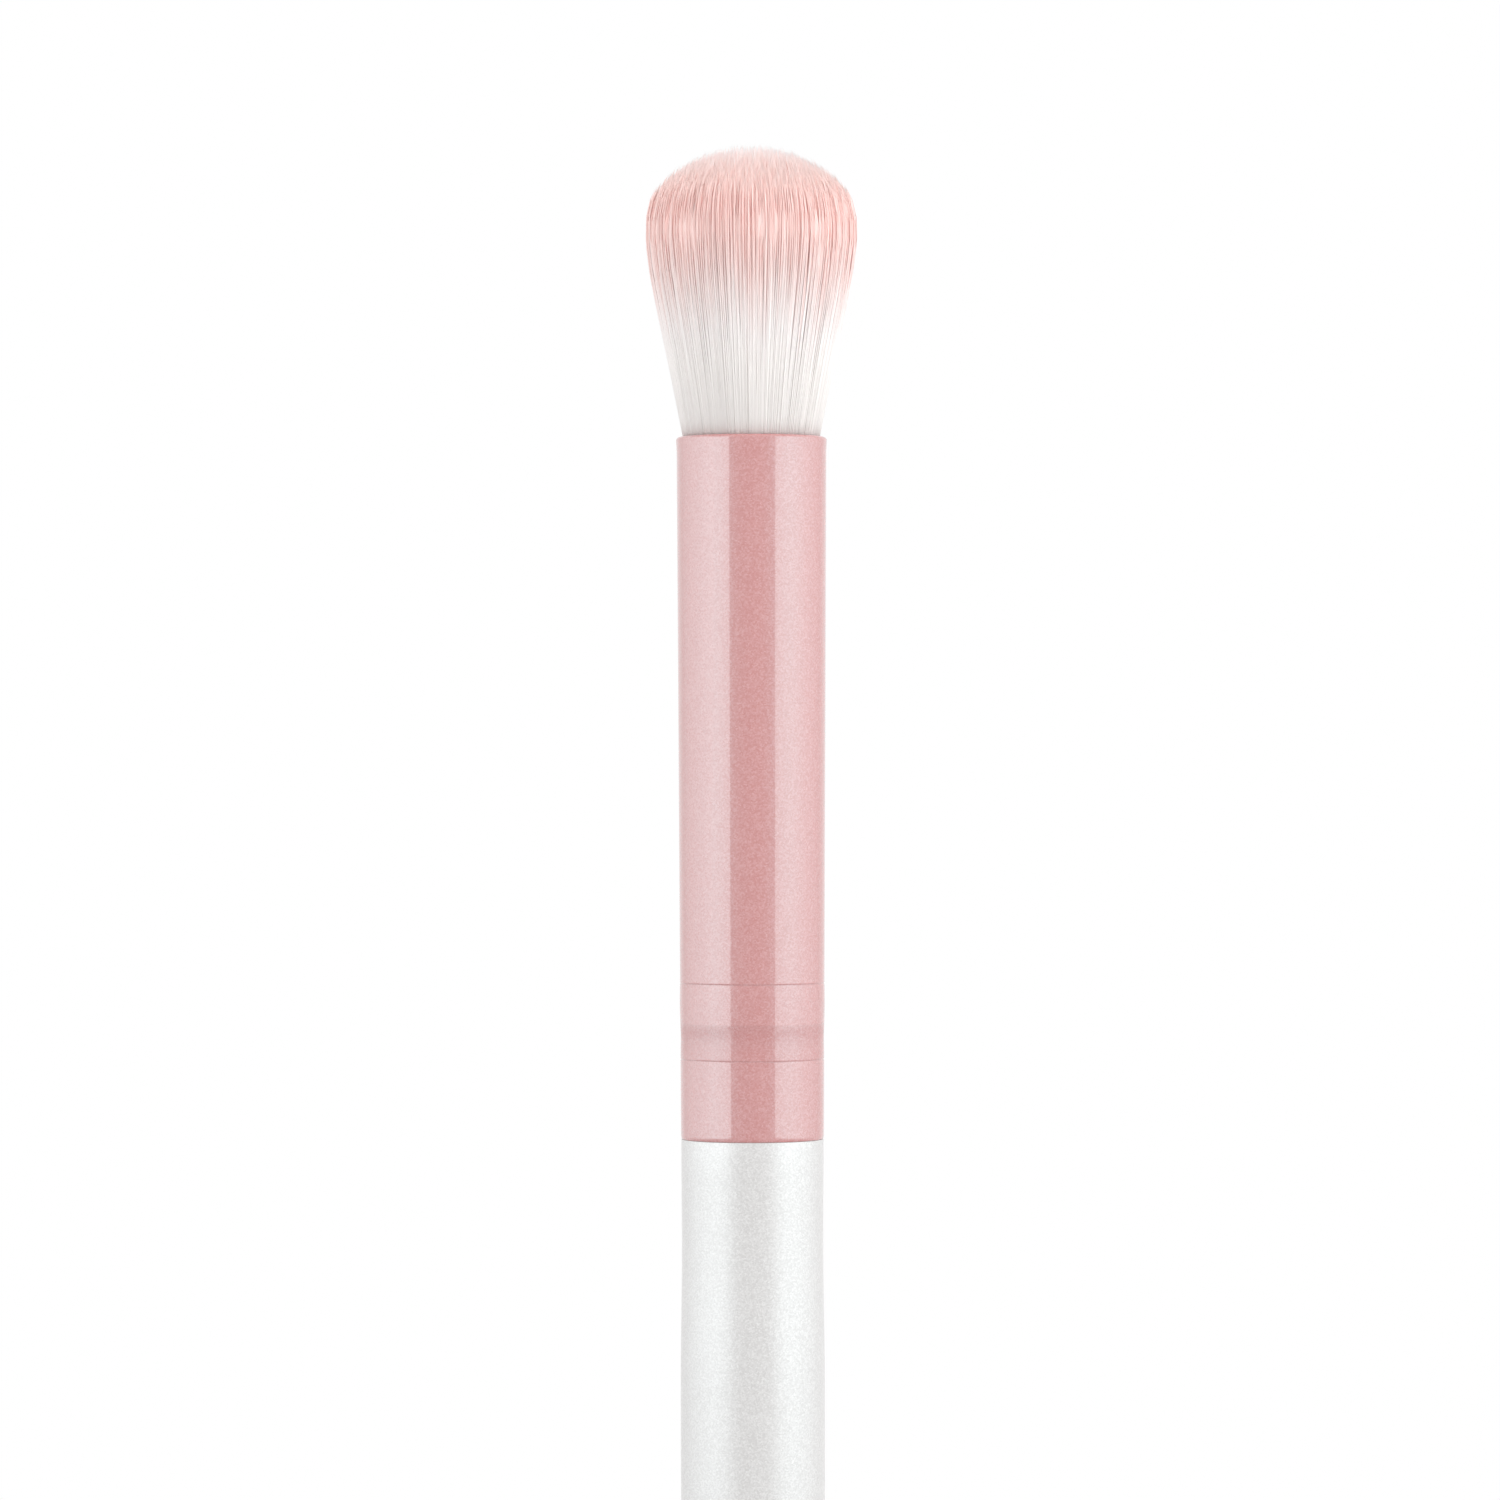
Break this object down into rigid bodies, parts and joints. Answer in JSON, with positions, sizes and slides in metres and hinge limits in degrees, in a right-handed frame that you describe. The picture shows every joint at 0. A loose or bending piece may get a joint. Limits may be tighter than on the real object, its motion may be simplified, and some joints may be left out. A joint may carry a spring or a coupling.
{
  "type": "make-up blending brush",
  "caption": "Make-up brush with a domed tuft of white hair dyed pink towards its tips, in a crimped pink metal ferrule on a long tapered white handle.",
  "frame": {"origin": "centre of the small flat at the handle's butt end", "axes": "+Z along the brush from the butt end to the tip of the tuft; the brush is round, so +X and +Y are any two directions across it"},
  "size_m": [0.0116, 0.0115, 0.178],
  "materials": {
    "hair": "matte",
    "thread": "matte",
    "resin": "gloss",
    "ferrule_coat": "satin",
    "adhesive": "satin",
    "handle_lacquer": "satin"
  },
  "bodies": {
    "root": {"bristle_tuft": "hair", "root_tie": "thread", "resin_plug": "resin", "ferrule": "ferrule_coat", "tenon_glue": "adhesive", "handle": "handle_lacquer"}
  },
  "joints": []
}
